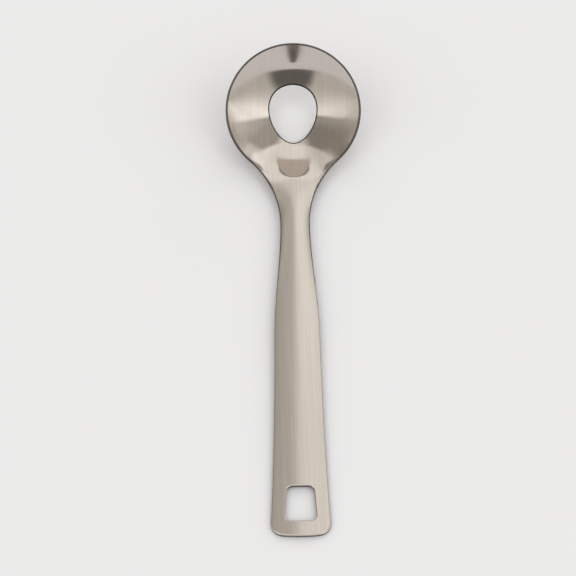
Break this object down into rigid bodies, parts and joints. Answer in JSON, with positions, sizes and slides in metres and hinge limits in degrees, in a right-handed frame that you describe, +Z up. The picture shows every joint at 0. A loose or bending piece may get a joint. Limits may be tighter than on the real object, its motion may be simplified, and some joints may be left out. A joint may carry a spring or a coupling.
{
  "type": "meatball scoop",
  "caption": "Meatball scoop pressed from steel sheet: a round dished bowl with an egg-shaped release hole, a waisted neck and a crowned handle with a hang hole.",
  "frame": {"origin": "on the table the scoop lies on, under the middle of its box", "axes": "+Y along the scoop from the handle's end to the bowl, +Z up out of the bowl's mouth, +X to the right of someone looking along +Y"},
  "size_m": [0.068, 0.2548, 0.0372],
  "materials": {
    "steel": "satin stainless steel, brushed along the handle, with bright eased edges"
  },
  "bodies": {
    "root": {"scoop": "steel"}
  },
  "joints": []
}
